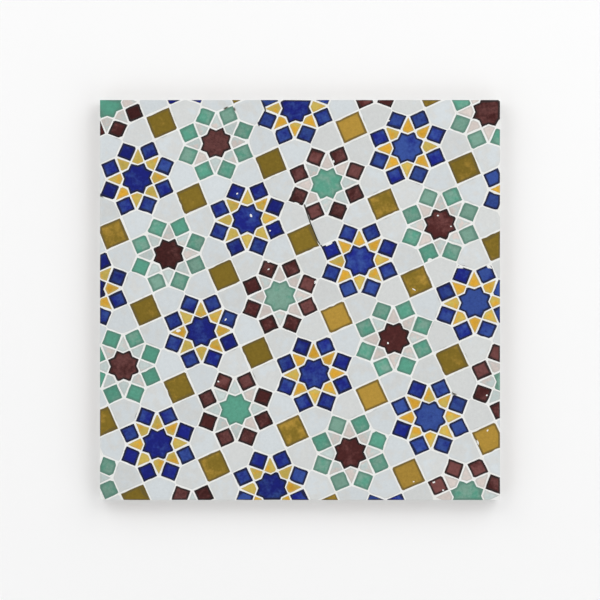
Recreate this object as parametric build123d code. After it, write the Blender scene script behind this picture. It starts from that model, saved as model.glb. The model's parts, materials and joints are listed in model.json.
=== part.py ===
"""A square panel of hand-cut mosaic. Glazed clay pieces lie face up in a cast bed of white mortar.

Eight-pointed stars, each in a ring of eight kites and eight small squares, stand on a square
grid. Ochre squares fill the corners between four rings, and white hexagons fill the rest.
The panel lies on its back: X and Y run across the face, and Z runs up from the back.
All sizes are millimetres and degrees.
"""

from build123d import *

import os
from math import atan2, ceil, cos, degrees, hypot, radians, sin, sqrt, tan
from random import Random

# The panel
panel_side = 500.0
mortar_behind_pieces = 14.0
piece_thickness = 11.0
joint_recess = 0.4  # the mortar in the joints stops this far below the glazed faces

# The cut pieces, out to the middle of the joints round them
star_reach = 22.75  # from a star's centre to its points
small_square_side = 20.7
white_meeting_side = 2.8  # where two white hexagons meet, between two rings
joint_width = 1.7
ochre_extra_joint = 0.8  # the ochre squares are cut this much smaller than their places
back_lean = 8.0  # the chiselled sides lean in towards the back

# How the grid lies on the panel, set out by eye
grid_turn = 24.1
middle_star_x = -25.2
middle_star_y = 4.7
row_stretch = 1.015
column_stretch = 0.987
column_lean = 0.66
row_gain = 0.67  # the rows' pitch grows by twice this from star to star
column_gain = -0.88
column_bow = 0.70

# Hand work. Two neighbours that stray towards each other still leave a joint between them.
corner_stray = 0.14 * joint_width
piece_stray = 0.09 * joint_width
piece_turn = degrees(atan2(0.12 * joint_width, star_reach))
smallest_scrap_area = 14.0  # a smaller cut-off at the panel's edge is left out

# Worked out from the sizes above
half_diagonal = small_square_side / sqrt(2)
notch_reach = star_reach * cos(radians(45)) / cos(radians(22.5))
ring_radius = max(star_reach + half_diagonal, half_diagonal / tan(radians(22.5)))
ring_reach = ring_radius + half_diagonal
kite_reach = ring_radius * cos(radians(22.5)) + half_diagonal * sin(radians(22.5))
pitch = 2 * ring_reach + white_meeting_side
face_height = mortar_behind_pieces + piece_thickness
points_of_star = 8
ring_step = 360 / points_of_star


def spoke(reach, angle):
    """A point at this reach and angle from the middle of a star."""
    return reach * cos(radians(angle)), reach * sin(radians(angle))


def star_outline():
    outline = []
    for k in range(points_of_star):
        outline.append(spoke(star_reach, k * ring_step))
        outline.append(spoke(notch_reach, (k + 0.5) * ring_step))
    return outline


def small_square_outline(k):
    """A square of the ring. One corner meets point k of the star."""
    x, y = spoke(ring_radius, k * ring_step)
    return [
        (x + dx, y + dy)
        for dx, dy in (spoke(half_diagonal, k * ring_step + turn) for turn in (0, 90, 180, 270))
    ]


def kite_outline(k):
    """A kite from the notch after point k of the star out between two squares of the ring."""
    middle = (k + 0.5) * ring_step
    return [
        spoke(notch_reach, middle),
        spoke(star_reach, k * ring_step),
        spoke(kite_reach, middle),
        spoke(star_reach, (k + 1) * ring_step),
    ]


def ochre_outline():
    """The square between four rings, corner to corner with one small square of each."""
    near = spoke(ring_reach, 45)[0] + ochre_extra_joint / 2
    far = pitch - near
    return [(near, near), (far, near), (far, far), (near, far)]


def white_outline(heading, side):
    """The hexagon on one side of the line from a star to the next star along a heading."""
    this_end = [
        spoke(ring_reach, 0),
        spoke(kite_reach, 22.5 * side),
        spoke(ring_reach, 45 * side),
    ]
    other_end = [(pitch - x, y) for x, y in reversed(this_end)]
    c, s = cos(radians(heading)), sin(radians(heading))
    outline = [(x * c - y * s, x * s + y * c) for x, y in this_end + other_end]
    return outline if side < 0 else outline[::-1]


def ring_colours(i, j):
    """What a star, its ring's squares and its kites are glazed, by the star's place in the grid."""
    if (i + j) % 2:
        return "blue", "blue", "amber"
    if (i - j) % 4:
        return "maroon", "green", "pale"
    return "green", "maroon", "pale"


def outlines_at(i, j):
    """Node name, label and outline of each piece that goes with star i, j, about that star."""
    star, square, kite = ring_colours(i, j)
    yield f"{star}_stars", "star", star_outline()
    for k in range(points_of_star):
        yield f"{square}_squares", f"square {k}", small_square_outline(k)
        yield f"{kite}_kites", f"kite {k}", kite_outline(k)
    yield "ochre_squares", "ochre", ochre_outline()
    for heading in (0, 90):
        for side in (-1, 1):
            yield "white_hexagons", f"white {heading} {side}", white_outline(heading, side)


def set_out(x, y):
    """Where a point of the even grid falls on the panel, as it was set out by eye."""
    i, j = x / pitch, y / pitch
    across = row_stretch * x + row_gain * i * i + column_bow * j * j
    across += tan(radians(column_lean)) * y
    up = column_stretch * y + column_gain * j * j
    c, s = cos(radians(grid_turn)), sin(radians(grid_turn))
    return middle_star_x + c * across - s * up, middle_star_y + s * across + c * up


def by_hand(outline, hand):
    """The outline as a hand cuts and sets it, a little off at each corner and as a whole."""
    middle_x = sum(x for x, y in outline) / len(outline)
    middle_y = sum(y for x, y in outline) / len(outline)
    turn = radians(hand.uniform(-piece_turn, piece_turn))
    shift_x = hand.uniform(-piece_stray, piece_stray)
    shift_y = hand.uniform(-piece_stray, piece_stray)
    cut = []
    for x, y in outline:
        dx, dy = x - middle_x, y - middle_y
        stray_x, stray_y = spoke(hand.uniform(0, corner_stray), hand.uniform(0, 360))
        cut.append(
            (
                middle_x + shift_x + dx * cos(turn) - dy * sin(turn) + stray_x,
                middle_y + shift_y + dx * sin(turn) + dy * cos(turn) + stray_y,
            )
        )
    return cut


def drawn_in(outline, distance):
    """The outline with every side moved in by the distance. It runs anticlockwise."""
    corners = []
    for before, corner, after in zip(outline[-1:] + outline, outline, outline[1:] + outline[:1]):
        heading_in = atan2(corner[1] - before[1], corner[0] - before[0])
        heading_out = atan2(after[1] - corner[1], after[0] - corner[0])
        half_turn = (heading_out - heading_in) / 2
        inward = (heading_in + heading_out) / 2 + radians(90)
        corners.append(
            (
                corner[0] + distance / cos(half_turn) * cos(inward),
                corner[1] + distance / cos(half_turn) * sin(inward),
            )
        )
    return corners


def cut_piece(outline):
    """A glazed piece: its face half a joint inside the outline, its sides leaning in behind it."""
    face = Polygon(*drawn_in(outline, joint_width / 2), align=None)
    block = extrude(Pos(0, 0, face_height) * face, amount=piece_thickness, dir=(0, 0, -1))
    sides = block.faces().filter_by(Axis.Z, reverse=True)
    return draft(sides, Plane.XY.offset(face_height), -back_lean)


def left_on_panel(outline, panel_block):
    """The solids that a piece leaves on the panel, whole or cut off at the panel's edge."""
    half = panel_side / 2
    if not all(min(along) < half and max(along) > -half for along in zip(*outline)):
        return []
    piece = cut_piece(outline)
    if all(abs(x) < half and abs(y) < half for x, y in outline):
        return piece.solids()
    rest = piece & panel_block
    cut_offs = rest.solids() if rest else []
    return [s for s in cut_offs if s.volume > smallest_scrap_area * piece_thickness]


def cut_all_pieces(panel_block):
    """Node name to its solids, for each piece that lies on the panel."""
    reach = ceil(hypot(panel_side, panel_side) / 2 / (min(row_stretch, column_stretch) * pitch)) + 1
    nodes = {}
    for i in range(-reach, reach + 1):
        for j in range(-reach, reach + 1):
            for node, label, shape in outlines_at(i, j):
                outline = [set_out(i * pitch + x, j * pitch + y) for x, y in shape]
                outline = by_hand(outline, Random(f"{label} at {i} {j}"))
                solids = left_on_panel(outline, panel_block)
                nodes.setdefault(node, []).extend(solids)
    return {node: solids for node, solids in nodes.items() if solids}


def cast_mortar_bed(pieces):
    """The bed that the pieces are set in. It fills every joint nearly up to the glazed faces."""
    slab = Box(
        panel_side,
        panel_side,
        face_height - joint_recess,
        align=(Align.CENTER, Align.CENTER, Align.MIN),
    )
    return slab - pieces


panel_block = Box(panel_side, panel_side, face_height, align=(Align.CENTER, Align.CENTER, Align.MIN))
nodes = cut_all_pieces(panel_block)
pieces = [solid for solids in nodes.values() for solid in solids]
nodes["mortar_bed"] = cast_mortar_bed(pieces).solids()

os.makedirs("parts", exist_ok=True)
for name, solids in nodes.items():
    export_step(Compound(children=solids), f"parts/{name}.step")
print("pitch", round(pitch, 2), "pieces", {name: len(solids) for name, solids in nodes.items()})
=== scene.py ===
"""The looks of a square panel of hand-cut glazed mosaic, set in a cast bed of white mortar."""

import json
import math
from random import Random

import bmesh
import bpy
from mathutils import Matrix, Vector, noise
from mathutils.bvhtree import BVHTree

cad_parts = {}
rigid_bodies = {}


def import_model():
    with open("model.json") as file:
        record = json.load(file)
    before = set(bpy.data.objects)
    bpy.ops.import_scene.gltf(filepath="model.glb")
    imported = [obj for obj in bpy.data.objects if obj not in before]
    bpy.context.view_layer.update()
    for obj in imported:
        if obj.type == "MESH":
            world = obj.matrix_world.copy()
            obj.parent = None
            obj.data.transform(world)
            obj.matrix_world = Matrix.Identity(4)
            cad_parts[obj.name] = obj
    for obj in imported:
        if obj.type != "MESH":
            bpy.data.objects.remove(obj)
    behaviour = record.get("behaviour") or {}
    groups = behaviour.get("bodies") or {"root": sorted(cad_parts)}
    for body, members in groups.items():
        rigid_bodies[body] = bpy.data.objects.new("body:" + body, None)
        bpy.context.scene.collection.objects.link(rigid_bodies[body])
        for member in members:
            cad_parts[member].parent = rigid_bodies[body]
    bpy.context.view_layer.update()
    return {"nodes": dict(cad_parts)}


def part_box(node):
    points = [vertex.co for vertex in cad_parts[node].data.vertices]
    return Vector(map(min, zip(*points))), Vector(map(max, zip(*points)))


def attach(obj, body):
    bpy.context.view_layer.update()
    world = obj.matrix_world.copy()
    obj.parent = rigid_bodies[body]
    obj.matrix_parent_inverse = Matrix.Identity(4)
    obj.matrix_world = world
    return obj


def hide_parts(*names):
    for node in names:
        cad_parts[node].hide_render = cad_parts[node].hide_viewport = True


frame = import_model()

# The eight-pointed stars, in blue, maroon and green. Each is one piece of fired clay, glazed on
# its face and then chiselled from the back to shape, so its edges wander a little, the glaze is
# thin and dark along them, and the pale clay shows where the panel's edge cuts through it. The dark
# rim along the edges is partly that glaze and partly painted shade where the face rolls into the joint.

face_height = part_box("blue_stars")[1].z
panel_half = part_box("mortar_bed")[1].x
weld_distance = 0.00001
level_with_face = 0.0001
down_the_side = 0.001

chisel_step = 0.006  # from blow to blow along an edge
edge_wander = 0.0004
nick_depth = 0.0007
nick_share = 0.2  # of the blows, those that bite in
corner_knock = 0.0006
corner_knock_share = 0.6
shortest_knocked_side = 0.004
broken_corner = 0.0034
broken_corner_reach = 0.005

edge_roll = 0.0012
roll_drop = 0.00015
rim_width = 0.0036
rim_room = 0.8  # a small piece's rim is at most this much of its face's area over its outline
rim_at_edge = 1.02
glaze_crown = 0.0001
crown_reach = 0.008
piece_tilt = 0.0001
pieces_pressed_in = 0.00022

# Painted light: pieces are painted lighter and paler towards the right, for light that grows across the
# panel.
painted_light_to_the_right = 0.2
bright_reach = 0.012
glaze_thickness = 0.0008
fired_clay = (190, 154, 128)
pale_clay = (214, 188, 164)


def hand_at(place):
    """The same few random numbers each time for one place on the panel."""
    return Random(f"{place.x * 1e4:.0f} {place.y * 1e4:.0f}")


def on_cut_side(*places):
    """Whether these places all lie on one cut side of the panel."""
    near = 0.00002
    return any(
        all(abs(place[axis] - side) < near for place in places)
        for axis in (0, 1)
        for side in (-panel_half, panel_half)
    )


def kept_on_panel(corner):
    """Moves a corner back to the panel's side where it strays past it."""
    corner.co.x = min(panel_half, max(-panel_half, corner.co.x))
    corner.co.y = min(panel_half, max(-panel_half, corner.co.y))


def inset_of(place, sides):
    """How far a place lies from the nearest of a piece's own sides, seen from above."""
    nearest = 1.0
    for start, end in sides:
        along = end - start
        share = (place.xy - start).dot(along) / along.length_squared
        foot = start + along * min(1.0, max(0.0, share))
        nearest = min(nearest, (place.xy - foot).length)
    return nearest


def whole_piece(corner):
    """The corners of the piece that a corner belongs to."""
    found = {corner}
    to_follow = [corner]
    while to_follow:
        corner = to_follow.pop()
        for edge in corner.link_edges:
            other = edge.other_vert(corner)
            if other not in found:
                found.add(other)
                to_follow.append(other)
    return found


def knock_corners(shape, broken):
    """Takes the tips off some corners, down the whole side. The broken ones lose much more."""
    knock = shape.edges.layers.int.new("knock")
    knocked_off = {1: corner_knock, 2: corner_knock * 2, 3: corner_knock * 3, 4: broken_corner}
    for edge in shape.edges:
        high, low = sorted(edge.verts, key=lambda corner: -corner.co.z)
        if high.co.z < face_height - level_with_face or low.co.z > face_height - down_the_side:
            continue
        if not edge.is_convex or on_cut_side(high.co):
            continue
        if min(side.calc_length() for side in high.link_edges) < shortest_knocked_side:
            continue
        hand = hand_at(high.co)
        if any((high.co.xy - Vector(place)).length < broken_corner_reach for place in broken):
            edge[knock] = 4
        elif hand.random() < corner_knock_share:
            edge[knock] = hand.choice((1, 1, 2, 3))
    for size, offset in knocked_off.items():
        tips = [edge for edge in shape.edges if edge[knock] == size]
        bmesh.ops.bevel(
            shape, geom=tips, offset=offset, segments=1, profile=0.5, affect="EDGES", material=-1
        )


def heart_of(face):
    """A place well inside a face, with the whole of its outline in sight."""

    def clearance(place):
        return min(
            (end.co - start.co).cross(place - start.co).z / (end.co - start.co).length
            for start, end in zip(face.verts, [*face.verts[1:], face.verts[0]])
        )

    middle = face.calc_center_median()
    clear_enough = 0.001
    if clearance(middle) > clear_enough:
        return middle
    shares = (0.0, 0.2, 0.4, 0.6)
    return max((middle.lerp(corner.co, share) for corner in face.verts for share in shares), key=clearance)


def inset_ring(shape, face, middle, distance, sides):
    """Insets a face. Each corner goes straight towards the middle, until it is this far in."""
    bmesh.ops.inset_individual(shape, faces=[face], thickness=weld_distance)
    for corner in face.verts:
        start = corner.co.copy()
        near, far = 0.02, 0.8  # shares of the way to the middle
        close_enough = 0.005
        while far - near > close_enough:
            share = (near + far) / 2
            if inset_of(start.lerp(middle, share), sides) < distance:
                near = share
            else:
                far = share
        corner.co = start.lerp(middle, near)


def chisel(outline, middle, blow):
    """Breaks the straight edges of a piece's face into short, slightly wandering ones."""
    corners = {corner for edge in outline for corner in edge.verts}
    for edge in outline:
        start, end = edge.verts
        if on_cut_side(start.co, end.co):
            continue
        blows = max(1, round(edge.calc_length() / chisel_step))
        while blows > 1:
            start = bmesh.utils.edge_split(edge, start, 1 / blows)[1]
            corners.add(start)
            blows -= 1
    for corner in corners:
        if on_cut_side(corner.co):
            continue
        hand = hand_at(corner.co)
        turn = hand.uniform(0, 2 * math.pi)
        wander = hand.uniform(0, edge_wander) * blow
        corner.co += Vector((math.cos(turn), math.sin(turn), 0)) * wander
        if hand.random() < nick_share:
            corner.co += (middle - corner.co).normalized() * hand.uniform(0.3, 1) * nick_depth * blow
        kept_on_panel(corner)


def work_face(shape, face, bright):
    """Chisels one piece's edges, rolls its rim, crowns and tilts its face, and gives it its tone, with
    painted light towards the right.
    """
    rim = shape.verts.layers.float["rim"]
    tone = shape.verts.layers.float_color["tone"]
    outline = list(face.edges)
    ends = [[corner.co.xy.copy() for corner in edge.verts] for edge in outline]
    sides = [(a, b) for a, b in ends if (a - b).length > weld_distance and not on_cut_side(a, b)]
    middle = heart_of(face)
    reach = max((corner.co - middle).length for corner in face.verts)
    share = min(1.0, rim_room * face.calc_area() / face.calc_perimeter() / rim_width)
    any_corner = face.verts[0]
    inset_ring(shape, face, middle, edge_roll * share, sides)
    inset_ring(shape, face, middle, rim_width * share, sides)
    if len(sides) == len(outline):
        bmesh.ops.poke(shape, faces=[face])
    chisel(outline, middle, share)

    hand = hand_at(middle)
    tilt_x = hand.uniform(-1, 1) * piece_tilt / reach
    tilt_y = hand.uniform(-1, 1) * piece_tilt / reach
    crown = hand.uniform(-0.3, 1) * glaze_crown
    # Painted light: the tone grows lighter towards the right, for light that grows across the panel. Nodes
    # with listed bright pieces are left out.
    painted_light = 0.0 if bright else painted_light_to_the_right * middle.x / panel_half
    # Where some pieces are picked out as bright, the others keep to the duller half.
    if any((middle.xy - Vector(place)).length < bright_reach for place in bright):
        batch = 1.0
    else:
        batch = hand.random() * (0.4 if bright else 0.8) + 0.1 + painted_light
    lightness = hand.random() + painted_light
    own_pattern = hand.random()
    for corner in whole_piece(any_corner):
        kept_on_panel(corner)
        corner[tone] = (lightness, batch, own_pattern, 1.0)
        corner[rim] = 1.0
        if corner.co.z < face_height - level_with_face:
            continue
        inset = inset_of(corner.co, sides)
        corner[rim] = min(1.0, max(0.0, rim_at_edge - inset / (rim_width * share)))
        away = corner.co - middle
        corner.co.z += crown * min(1.0, inset / crown_reach) + tilt_x * away.x + tilt_y * away.y
        corner.co.z -= roll_drop * max(0.0, 1 - inset / edge_roll) ** 2 + pieces_pressed_in


def smooth_tops(shape):
    """Shades what looks up smoothly, and leaves the sides flat."""
    for face in shape.faces:
        face.smooth = face.normal.z > 0.5


def put_in_order(shape):
    """Lists a shape's corners and faces by where they lie, so that every run gives the same mesh."""

    def rank(place):
        return place.x + place.y * math.sqrt(2) + place.z * math.sqrt(3)

    shape.verts.sort(key=lambda corner: rank(corner.co))
    shape.faces.sort(key=lambda face: rank(face.calc_center_median()))


def as_object(name, shape):
    """An object in the scene from a bmesh, which is used up."""
    put_in_order(shape)
    mesh = bpy.data.meshes.new(name)
    shape.to_mesh(mesh)
    shape.free()
    made = bpy.data.objects.new(name, mesh)
    bpy.context.scene.collection.objects.link(made)
    return made


def glazed_pieces(node, finish, broken=(), bright=()):
    """Dresses a node of cut pieces in a glaze. Broken corners and bright pieces go by place."""
    shape = bmesh.new()
    shape.from_mesh(frame["nodes"][node].data)
    shape.verts.layers.float.new("rim")
    shape.verts.layers.float_color.new("tone")
    bmesh.ops.remove_doubles(shape, verts=shape.verts, dist=weld_distance)
    flat = math.radians(1)
    bmesh.ops.dissolve_limit(shape, angle_limit=flat, verts=shape.verts, edges=shape.edges)
    knock_corners(shape, broken)
    for face in [face for face in shape.faces if face.normal.z > 0.9]:
        if face.verts[0].co.z > face_height - level_with_face:
            work_face(shape, face, bright)
    smooth_tops(shape)
    piece = as_object(f"glazed_{node}", shape)
    piece.data.materials.append(finish)
    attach(piece, "root")
    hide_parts(node)


def paint(red, green, blue):
    """A colour as a screen shows it, 0 to 255, in the light that it stands for."""

    def light(part):
        part /= 255
        return part / 12.92 if part <= 0.04045 else ((part + 0.055) / 1.055) ** 2.4

    return (light(red), light(green), light(blue), 1.0)


class Wire:
    """A shader node's output. Arithmetic on it adds Math nodes, and node() adds any other node."""

    def __init__(self, tree, socket=None):
        self.tree = tree
        self.socket = socket

    def node(self, kind, settings=None, sockets=None, out=0):
        """A new node of a kind, with its settings and then its sockets' values or wires."""
        made = self.tree.nodes.new(f"ShaderNode{kind}")
        for name, value in (settings or {}).items():
            setattr(made, name, value)
        for name, value in (sockets or {}).items():
            if isinstance(value, Wire):
                self.tree.links.new(value.socket, made.inputs[name])
            else:
                made.inputs[name].default_value = value
        return Wire(self.tree, made.outputs[out])

    def math(self, operation, *values):
        return self.node("Math", {"operation": operation}, dict(enumerate(values)))

    def __add__(self, other):
        return self.math("ADD", self, other)

    def __sub__(self, other):
        return self.math("SUBTRACT", self, other)

    def __rsub__(self, other):
        return self.math("SUBTRACT", other, self)

    def __mul__(self, other):
        return self.math("MULTIPLY", self, other)

    __radd__ = __add__
    __rmul__ = __mul__

    def between(self, low, high):
        """0 at low and 1 at high, eased, and level past both."""
        sockets = {"Value": self, "From Min": low, "From Max": high}
        return self.node("MapRange", {"interpolation_type": "SMOOTHSTEP"}, sockets)

    def mixed(self, first, second):
        """The first colour where this mask is 0 and the second where it is 1."""
        sockets = {0: self, 6: first, 7: second}
        return self.node("Mix", {"data_type": "RGBA"}, sockets, out=2)

    def part(self, axis):
        """The X, Y or Z of this place or colour."""
        return self.node("SeparateXYZ", {}, {0: self}, out=axis)

    def noise(self, size, detail=2.0):
        """Cloudy noise over this place, with patches about this many metres across."""
        sockets = {"Vector": self, "Scale": 1 / size, "Detail": detail}
        return self.node("TexNoise", {}, sockets)

    def specks(self, size, radius, share):
        """1 inside small round specks, one in a share of the cells this many metres across."""
        cell = {"Vector": self, "Scale": 1 / size}
        away = self.node("TexVoronoi", {}, cell, out="Distance")
        which = self.node("TexVoronoi", {}, cell, out="Color").part("X")
        return (1 - away.between(radius / size * 0.6, radius / size)) * self.math("LESS_THAN", which, share)


def glaze(name, main, second, rim_glaze_and_shade_colour, rim_strength, spread, shading, mottle=1.0, dullness=0.16):
    """A glossy hand-made glaze on clay, which drifts from the main colour to the second one.

    The spread is how much of that lies between the pieces, and the mottle how much inside each.
    The shading is how much they vary in lightness. The dullness is how rough the glaze is away
    from its rim. The rim colour is painted along each piece's edges, partly as the thin dark glaze
    there and partly as painted shade along the edge.
    """
    finish = bpy.data.materials.new(name)
    finish.use_nodes = True
    start = Wire(finish.node_tree)
    shader = finish.node_tree.nodes["Principled BSDF"]
    place = start.node("TexCoord", out="Object")
    tone = start.node("Attribute", {"attribute_name": "tone"}, out="Vector")
    # Each piece reads the noise at a place of its own, up to 5 m off, so that none repeats.
    own_place = start.node("VectorMath", {"operation": "MULTIPLY_ADD"}, {0: tone, 1: (5, 5, 5), 2: place})
    clouds = own_place.noise(0.013, 3)
    pools = own_place.noise(0.0035, 2)
    grain = own_place.noise(0.0012, 2)

    patches = ((clouds - 0.5) * 1.1 + (pools - 0.5) * 0.3) * mottle
    drift = (patches + 0.5 + (tone.part("Y") - 0.5) * spread).between(0.3, 0.7)
    unevenness = (tone.part("X") - 0.5) + (pools - 0.5) * 1.6 + (grain - 0.5) * 1.2
    level = 1 + unevenness * shading
    colour = drift.mixed(paint(*main), paint(*second))
    colour = start.node("VectorMath", {"operation": "SCALE"}, {0: colour, "Scale": level})
    # The dark rim is partly the thin glaze along each piece's edge and partly painted shade where its face
    # rolls down into the joint.
    rim_glaze_and_shade_mask = start.node("Attribute", {"attribute_name": "rim"}, out="Fac")
    rim_glaze_and_shade_mask = (rim_glaze_and_shade_mask + (clouds - 0.5) * 0.5 * rim_glaze_and_shade_mask).between(0.08, 0.5) * rim_strength
    colour = rim_glaze_and_shade_mask.mixed(colour, paint(*rim_glaze_and_shade_colour))
    colour = own_place.specks(0.006, 0.0004, 0.3).mixed(colour, paint(*rim_glaze_and_shade_colour))

    glaze_foot = face_height - glaze_thickness
    clay_mask = 1 - place.part("Z").between(glaze_foot - 0.0001, glaze_foot + 0.0001)
    clay = place.noise(0.002, 4).mixed(paint(*fired_clay), paint(*pale_clay))
    colour = clay_mask.mixed(colour, clay)
    roughness = (rim_glaze_and_shade_mask * 0.25 + clouds * 0.08 + dullness) * (1 - clay_mask) + clay_mask * 0.85
    ripple = own_place.noise(0.007, 2) * 0.6 + grain * 0.05 + place.noise(0.0006, 3) * clay_mask
    relief = start.node("Bump", {}, {"Strength": 0.35, "Distance": 0.0004, "Height": ripple})
    for socket, wire in (("Base Color", colour), ("Roughness", roughness), ("Normal", relief)):
        finish.node_tree.links.new(wire.socket, shader.inputs[socket])
    shader.inputs["Specular IOR Level"].default_value = 0.35
    return finish


blue_glaze = glaze(
    "blue_glaze",
    main=(24, 32, 122),
    second=(50, 74, 142),
    rim_glaze_and_shade_colour=(4, 8, 44),
    rim_strength=0.9,
    spread=0.4,
    shading=0.4,
    mottle=0.8,
)
maroon_glaze = glaze(
    "maroon_glaze",
    main=(70, 32, 31),
    second=(106, 64, 62),
    rim_glaze_and_shade_colour=(22, 8, 8),
    rim_strength=0.88,
    spread=0.6,
    shading=0.5,
    mottle=0.8,
)
green_glaze = glaze(
    "green_glaze",
    main=(90, 157, 135),
    second=(122, 160, 144),
    rim_glaze_and_shade_colour=(78, 118, 104),
    rim_strength=0.62,
    spread=0.7,
    shading=0.26,
)
glazed_pieces("blue_stars", blue_glaze)
glazed_pieces("maroon_stars", maroon_glaze)
glazed_pieces("green_stars", green_glaze)

# The small squares, eight round each star. They are cut like the stars, from the same three
# glazes, and stand corner to corner with the star's points. A few have lost a whole corner.

blue_broken = [
    (-0.031, 0.211),
    (0.0375, -0.046),
    (0.2405, -0.0495),
    (0.204, 0.041),
    (0.236, 0.043),
]
maroon_broken = [
    (-0.223, 0.2025),
    (0.059, 0.115),
    (0.228, -0.198),
]
green_broken = [
    (-0.1735, 0.0335),
    (-0.2295, -0.2015),
    (-0.234, -0.225),
    (0.0895, -0.164),
    (0.109, -0.1705),
]
glazed_pieces("blue_squares", blue_glaze, blue_broken)
glazed_pieces("maroon_squares", maroon_glaze, maroon_broken)
glazed_pieces("green_squares", green_glaze, green_broken)

# The kites between the squares, the smallest pieces. The blue rings have amber ones, from mustard
# to orange, and the others a thin greyish white glaze that the clay shows through.

amber_glaze = glaze(
    "amber_glaze",
    main=(200, 176, 88),
    second=(216, 162, 52),
    rim_glaze_and_shade_colour=(190, 164, 94),
    rim_strength=0.6,
    spread=0.8,
    shading=0.26,
    mottle=2.2,
)
pale_glaze = glaze(
    "pale_glaze",
    main=(193, 205, 203),
    second=(207, 196, 190),
    rim_glaze_and_shade_colour=(186, 186, 182),
    rim_strength=0.4,
    spread=1.0,
    shading=0.2,
    mottle=2.0,
    dullness=0.3,
)
glazed_pieces("amber_kites", amber_glaze)
glazed_pieces("pale_kites", pale_glaze)

# The ochre squares, the largest plain ones, between four rings. Their glaze runs from olive to
# amber from piece to piece. The brightest ones lie mostly to the lower right.

ochre_glaze = glaze(
    "ochre_glaze",
    main=(126, 104, 34),
    second=(172, 137, 56),
    rim_glaze_and_shade_colour=(94, 80, 36),
    rim_strength=0.75,
    spread=1.0,
    shading=0.26,
    mottle=0.8,
)
bright_ochre = [
    (0.052, -0.012),
    (0.09, -0.112),
    (0.131, -0.215),
    (0.24, -0.175),
    (0.2, -0.08),
    (0.062, 0.212),
]
glazed_pieces("ochre_squares", ochre_glaze, bright=bright_ochre)

# The white hexagons, two on each line from star to star. Their glaze is a milky white, a little
# greyer than the mortar round it.

white_glaze = glaze(
    "white_glaze",
    main=(212, 218, 221),
    second=(211, 213, 212),
    rim_glaze_and_shade_colour=(206, 208, 206),
    rim_strength=0.3,
    spread=0.7,
    shading=0.09,
    mottle=1.5,
    dullness=0.2,
)
glazed_pieces("white_hexagons", white_glaze)

# The mortar bed. White mortar is poured over the backs of the laid pieces and struck level, so it
# backs them and fills the joints nearly to the glaze. It is hollow between the pieces and climbs
# a little up their sides. One crack runs down from the top edge along the joints.

mortar_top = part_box("mortar_bed")[1].z
mortar_step = 0.002  # from corner to corner of its mesh
mortar_climb = 0.00003
joint_hollow = 0.00018
hollow_reach = 0.0007  # from a piece's side to the full depth of the hollow
joint_surface_depth = 0.0006
mortar_unevenness = 0.00007
mortar_lumps = 160  # to a metre
worn_arris = 0.0007
arris_lumps = 90  # to a metre

crack_width = 0.0008
crack_depth = 0.004
crack_overshoot = 0.001
crack_runs = [
    [(-0.0493, 0.2525), (-0.0431, 0.2375), (-0.044, 0.2335)],
    [(-0.0525, 0.222), (-0.051, 0.2175)],
    [(0.0055, 0.119), (0.0122, 0.0985), (0.0165, 0.088), (0.0225, 0.0735), (0.0305, 0.0625)],
]
# Along the crack, dirt and painted shade darken the groove and the mortar beside it.
crack_dirt_and_shade_reach = 0.0013
dirt_reach = 0.005
dirty_down_to = mortar_top - dirt_reach * 0.9  # on the panel's cut sides
dirty_places = [(-0.0925, 0.2396), (-0.0835, 0.238), (0.193, -0.1165), (-0.249, 0.13)]

fresh_mortar = (238, 239, 237)
stained_mortar = (231, 231, 227)
bare_sand = (218, 216, 209)
dirt_and_shade_colour = (86, 84, 72)

mortar = bpy.data.materials.new("mortar")
mortar.use_nodes = True
mortar_start = Wire(mortar.node_tree)
mortar_shader = mortar.node_tree.nodes["Principled BSDF"]
bed_place = mortar_start.node("TexCoord", out="Object")
stain = bed_place.noise(0.03, 4).between(0.35, 0.75)
sand = bed_place.noise(0.0008, 3)
bubble = bed_place.specks(0.007, 0.0008, 0.4)
bed_colour = stain.mixed(paint(*fresh_mortar), paint(*stained_mortar))
bed_colour = sand.between(0.6, 0.8).mixed(bed_colour, paint(*bare_sand))
# The grime is dirt at a few listed places. Along the crack it is dirt and painted shade that darkens the
# groove.
grime_and_crack_shade = mortar_start.node("Attribute", {"attribute_name": "grime_and_crack_shade"}, out="Fac")
grime_and_crack_shade_mask = (grime_and_crack_shade + (bed_place.noise(0.004, 3) - 0.5) * 0.5 * grime_and_crack_shade).between(0.1, 0.7)
bed_colour = grime_and_crack_shade_mask.mixed(bed_colour, paint(*dirt_and_shade_colour))
bed_relief = sand + bed_place.noise(0.003, 3) * 2 - bubble * 3
bed_bump = mortar_start.node("Bump", {}, {"Strength": 0.5, "Distance": 0.0004, "Height": bed_relief})
mortar.node_tree.links.new(bed_colour.socket, mortar_shader.inputs["Base Color"])
mortar.node_tree.links.new(bed_bump.socket, mortar_shader.inputs["Normal"])
mortar_shader.inputs["Roughness"].default_value = 0.9


def open_edges(parts):
    """The edges among these new parts of a shape that have a face on one side only."""
    return [part for part in parts if isinstance(part, bmesh.types.BMEdge) and part.is_boundary]


def carved(bed, *cutters):
    """The bed as a bmesh once each cutter has been taken out of it. All of them are used up."""
    for cutter in cutters:
        cut = bed.modifiers.new(cutter.name, "BOOLEAN")
        cut.operation = "DIFFERENCE"
        cut.solver = "MANIFOLD"
        cut.object = cutter
    bpy.context.view_layer.update()
    left = bmesh.new()
    left.from_object(bed, bpy.context.evaluated_depsgraph_get())
    for used in (bed, *cutters):
        bpy.data.meshes.remove(used.data)
    return left


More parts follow.
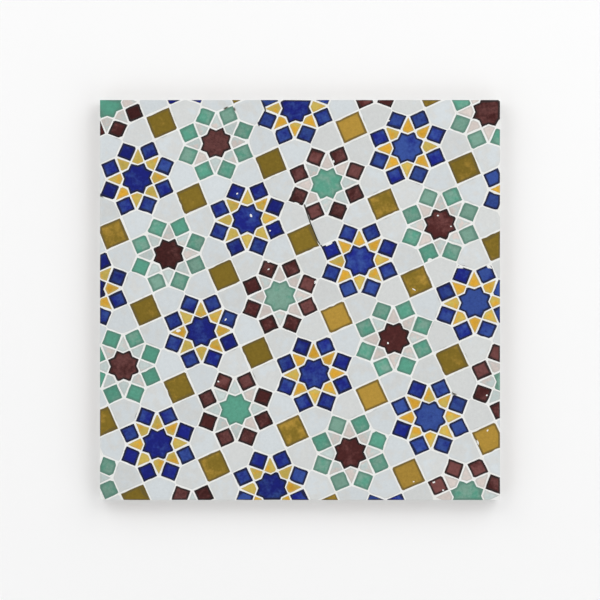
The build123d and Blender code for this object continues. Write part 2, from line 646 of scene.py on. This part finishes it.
slab = bmesh.new()
cells = round(2 * panel_half / mortar_step)
bmesh.ops.create_grid(slab, x_segments=cells, y_segments=cells, size=panel_half)
bmesh.ops.translate(slab, verts=slab.verts, vec=(0, 0, mortar_top))
ring = [edge for edge in slab.edges if edge.is_boundary]
for level in (mortar_top - dirt_reach, worn_arris, 0.0):
    ring = open_edges(bmesh.ops.extrude_edge_only(slab, edges=ring)["geom"])
    for corner in {corner for edge in ring for corner in edge.verts}:
        corner.co.z = level
        if level == 0.0:
            wear = worn_arris * (0.6 + 0.4 * noise.noise(corner.co * arris_lumps))
            corner.co.xy *= 1 - wear / panel_half
bmesh.ops.contextual_create(slab, geom=ring)
bmesh.ops.recalc_face_normals(slab, faces=slab.faces)

pieces_shape = bmesh.new()
for piece in [o for o in bpy.context.scene.objects if o.name.startswith("glazed_")]:
    pieces_shape.from_mesh(piece.data)
piece_sides = BVHTree.FromBMesh(pieces_shape)

# The crack is a row of thin upright blades along the joints, which are cut out of the bed.
cracks = bmesh.new()
for run in crack_runs:
    top = cracks.verts.new((*run[0], mortar_top + crack_overshoot))
    bottom = cracks.verts.new((*run[0], mortar_top - crack_depth))
    blade = cracks.edges.new((top, bottom))
    for place in run[1:]:
        here = blade.verts[0].co.xy.copy()
        grown = open_edges(bmesh.ops.extrude_edge_only(cracks, edges=[blade])["geom"])
        blade = max(grown, key=lambda edge: abs(edge.verts[0].co.z - edge.verts[1].co.z))
        bmesh.ops.translate(cracks, verts=blade.verts, vec=(*(Vector(place) - here), 0))
bmesh.ops.solidify(cracks, geom=cracks.faces, thickness=crack_width)
bmesh.ops.recalc_face_normals(cracks, faces=cracks.faces)

bed_shape = carved(as_object("bed", slab), as_object("pieces", pieces_shape), as_object("cracks", cracks))
crack_lines = [[(Vector(a), Vector(b)) for a, b in zip(run, run[1:])] for run in crack_runs]
grime_and_crack_shade_of = bed_shape.verts.layers.float.new("grime_and_crack_shade")
for corner in bed_shape.verts:
    away_from_crack = min(inset_of(corner.co, line) for line in crack_lines)
    away_from_dirt = min((corner.co.xy - Vector(place)).length for place in dirty_places)
    if corner.co.z > dirty_down_to:
        # Along the crack this is dirt and painted shade. At the listed places it is dirt.
        dirt_and_shade = max(1 - away_from_crack / crack_dirt_and_shade_reach, 1 - away_from_dirt / dirt_reach)
        corner[grime_and_crack_shade_of] = max(0.0, dirt_and_shade)
    if corner.co.z < mortar_top - joint_surface_depth:
        continue
    gap = piece_sides.find_nearest(corner.co)[3]
    corner.co.z += mortar_climb - (mortar_climb + joint_hollow) * min(1.0, gap / hollow_reach)
    corner.co.z += mortar_unevenness * noise.noise(corner.co * mortar_lumps)
smooth_tops(bed_shape)
bed = as_object("cast_mortar_bed", bed_shape)
bed.data.materials.append(mortar)
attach(bed, "root")
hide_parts("mortar_bed")

# Mortar smears: spots of the white mortar that dried on the faces where they were chipped, and
# thin skins of it that run from a joint over a broken edge. Each lies on the glaze under it.

smear_places = [  # across, up, length, width, turn
    (-0.0614, 0.1056, 0.0048, 0.003, 115),
    (-0.0785, 0.133, 0.003, 0.002, 40),
    (-0.0375, 0.0867, 0.0028, 0.002, 0),
    (-0.093, -0.0245, 0.0042, 0.0022, 50),
    (0.111, 0.224, 0.003, 0.002, 20),
    (0.0418, 0.1731, 0.0045, 0.0035, 70),
    (0.0194, 0.0225, 0.005, 0.004, 70),
    (-0.0394, 0.0384, 0.003, 0.0022, 30),
    (-0.0393, 0.048, 0.0045, 0.003, 160),
    (0.0356, 0.07, 0.0115, 0.0042, 22),
    (-0.004, 0.1205, 0.009, 0.003, -25),
    (-0.1021, -0.1019, 0.0028, 0.0024, 0),
    (-0.152, -0.0385, 0.0075, 0.0042, 10),
    (0.11, -0.0538, 0.003, 0.0022, 100),
    (0.2, 0.041, 0.011, 0.0036, 0),
    (0.236, 0.0418, 0.0095, 0.0046, 150),
    (0.1723, 0.1055, 0.003, 0.002, 10),
    (0.1888, 0.092, 0.0024, 0.002, 0),
    (0.1425, 0.0131, 0.0055, 0.0018, 150),
    (0.162, 0.0503, 0.0065, 0.004, 24),
    (0.2222, -0.178, 0.0075, 0.0024, 112),
    (0.2345, -0.163, 0.0034, 0.002, 60),
    (0.2335, -0.119, 0.0026, 0.0022, 0),
    (0.1674, -0.2278, 0.004, 0.0024, 15),
    (0.179, -0.2378, 0.003, 0.0026, 0),
    (0.142, -0.227, 0.0026, 0.0018, 0),
]
smear_thickness = 0.00012
smear_depth = 0.0004  # down to its underside, out of sight in the glaze
smear_sides = 16
smear_slope = 0.12  # the share of its breadth over which it rises
raggedness = (0.72, 1.15)


def glaze_under(place):
    """The height of the glaze under a place, or of the joint's edges where no piece lies there."""
    hit = piece_sides.ray_cast(Vector((place.x, place.y, face_height + 0.01)), Vector((0, 0, -1)))[0]
    return max(mortar_top, hit.z) if hit else mortar_top


smears = bmesh.new()
for across, up, length, width, turn in smear_places:
    hand = hand_at(Vector((across, up)))
    circle = bmesh.ops.create_circle(smears, cap_ends=True, segments=smear_sides, radius=0.5)
    edge_ring = circle["verts"]
    face = edge_ring[0].link_faces[0]
    bmesh.ops.inset_individual(smears, faces=[face], thickness=smear_slope)
    inner_ring = list(face.verts)
    middle = bmesh.ops.poke(smears, faces=[face])["verts"]
    for outer, inner in zip(edge_ring, inner_ring):
        ragged = hand.uniform(*raggedness)
        outer.co *= ragged
        inner.co *= ragged
    spin = Matrix.Rotation(math.radians(turn), 4, "Z")
    place_it = Matrix.Translation((across, up, 0)) @ spin @ Matrix.Diagonal((length, width, 1, 1))
    bmesh.ops.transform(smears, matrix=place_it, verts=edge_ring + inner_ring + middle)
    for corners, share in ((edge_ring, -0.3), (inner_ring, 0.75), (middle, 1.0)):
        for corner in corners:
            corner.co.z = glaze_under(corner.co) + share * smear_thickness
bmesh.ops.solidify(smears, geom=smears.faces, thickness=smear_depth)
smooth_tops(smears)
smear_object = as_object("mortar_smears", smears)
smear_object.data.materials.append(mortar)
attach(smear_object, "root")

# The studio: a pale floor that takes the panel's shadow and lets light through to its back, a
# white backdrop, four large soft lamps round the panel, dim above it so that the glaze keeps its
# depth, and a camera that looks straight down on the face.

floor_half = 12
floor_colour = (0.95, 0.95, 0.95, 1)
white = (1, 1, 1, 1)
floor_lit_to = 0.35
floor_white_from = 1.2

floor_finish = bpy.data.materials.new("floor")
floor_finish.use_nodes = True
floor_shader = floor_finish.node_tree.nodes["Principled BSDF"]
floor_shader.inputs["Base Color"].default_value = floor_colour
floor_shader.inputs["Roughness"].default_value = 0.9
floor_start = Wire(floor_finish.node_tree)
lit_floor = Wire(floor_finish.node_tree, floor_shader.outputs["BSDF"])
white_light = floor_start.node("Emission", {}, {"Color": white, "Strength": 1.0})
floor_place = floor_start.node("TexCoord", out="Object")
away = floor_start.node("VectorMath", {"operation": "LENGTH"}, {0: floor_place}, out="Value")
seen_directly = floor_start.node("LightPath", out="Is Camera Ray")
far_off = away.between(floor_lit_to, floor_white_from) * seen_directly
floor_look = floor_start.node("MixShader", {}, {0: far_off, 1: lit_floor, 2: white_light})
floor_out = floor_finish.node_tree.nodes["Material Output"]
floor_finish.node_tree.links.new(floor_look.socket, floor_out.inputs["Surface"])

floor_shape = bmesh.new()
bmesh.ops.create_grid(floor_shape, x_segments=1, y_segments=1, size=floor_half)
floor = as_object("floor", floor_shape)
floor.data.materials.append(floor_finish)
floor.visible_diffuse = False
floor.visible_shadow = False

sky_overhead = 0.2
sky_glow = 0.35  # added to it towards the horizon
world = bpy.data.worlds.new("studio")
bpy.context.scene.world = world
world.use_nodes = True
sky = Wire(world.node_tree)
above = sky.node("TexCoord", out="Generated").part("Z")
fall = 1 - sky.math("MINIMUM", sky.math("ABSOLUTE", above), 1.0)
sky_light = fall * fall * sky_glow + sky_overhead
backdrop = sky.node("LightPath", out="Is Camera Ray")
sky_strength = sky_light + (1 - sky_light) * backdrop
background = world.node_tree.nodes["Background"]
world.node_tree.links.new(sky_strength.socket, background.inputs["Strength"])
background.inputs["Color"].default_value = white

lamp_size = 3.2
for lamp_name, lamp_place, lamp_power in (
    ("back_right", (1.9, 1.7, 2.2), 57),
    ("back_left", (-1.9, 1.7, 2.2), 47),
    ("front_right", (2.0, -1.6, 2.0), 32),
    ("front_left", (-2.0, -1.6, 2.0), 28),
):
    lamp = bpy.data.lights.new(lamp_name, "AREA")
    lamp.size = lamp_size
    lamp.energy = lamp_power
    lamp_object = bpy.data.objects.new(lamp_name, lamp)
    lamp_object.location = lamp_place
    lamp_object.rotation_euler = Vector(lamp_place).to_track_quat("Z", "Y").to_euler()
    lamp_object.visible_camera = False
    bpy.context.scene.collection.objects.link(lamp_object)

frame_width = 0.75  # what the picture takes in, at the height of the face
camera_height = 3.0
camera = bpy.data.cameras.new("camera")
camera.sensor_width = 36
camera.lens = camera.sensor_width * (camera_height - face_height) / frame_width
camera_object = bpy.data.objects.new("camera", camera)
camera_object.location = (0, 0, camera_height)
bpy.context.scene.collection.objects.link(camera_object)
bpy.context.scene.camera = camera_object
bpy.context.scene.view_settings.view_transform = "Standard"
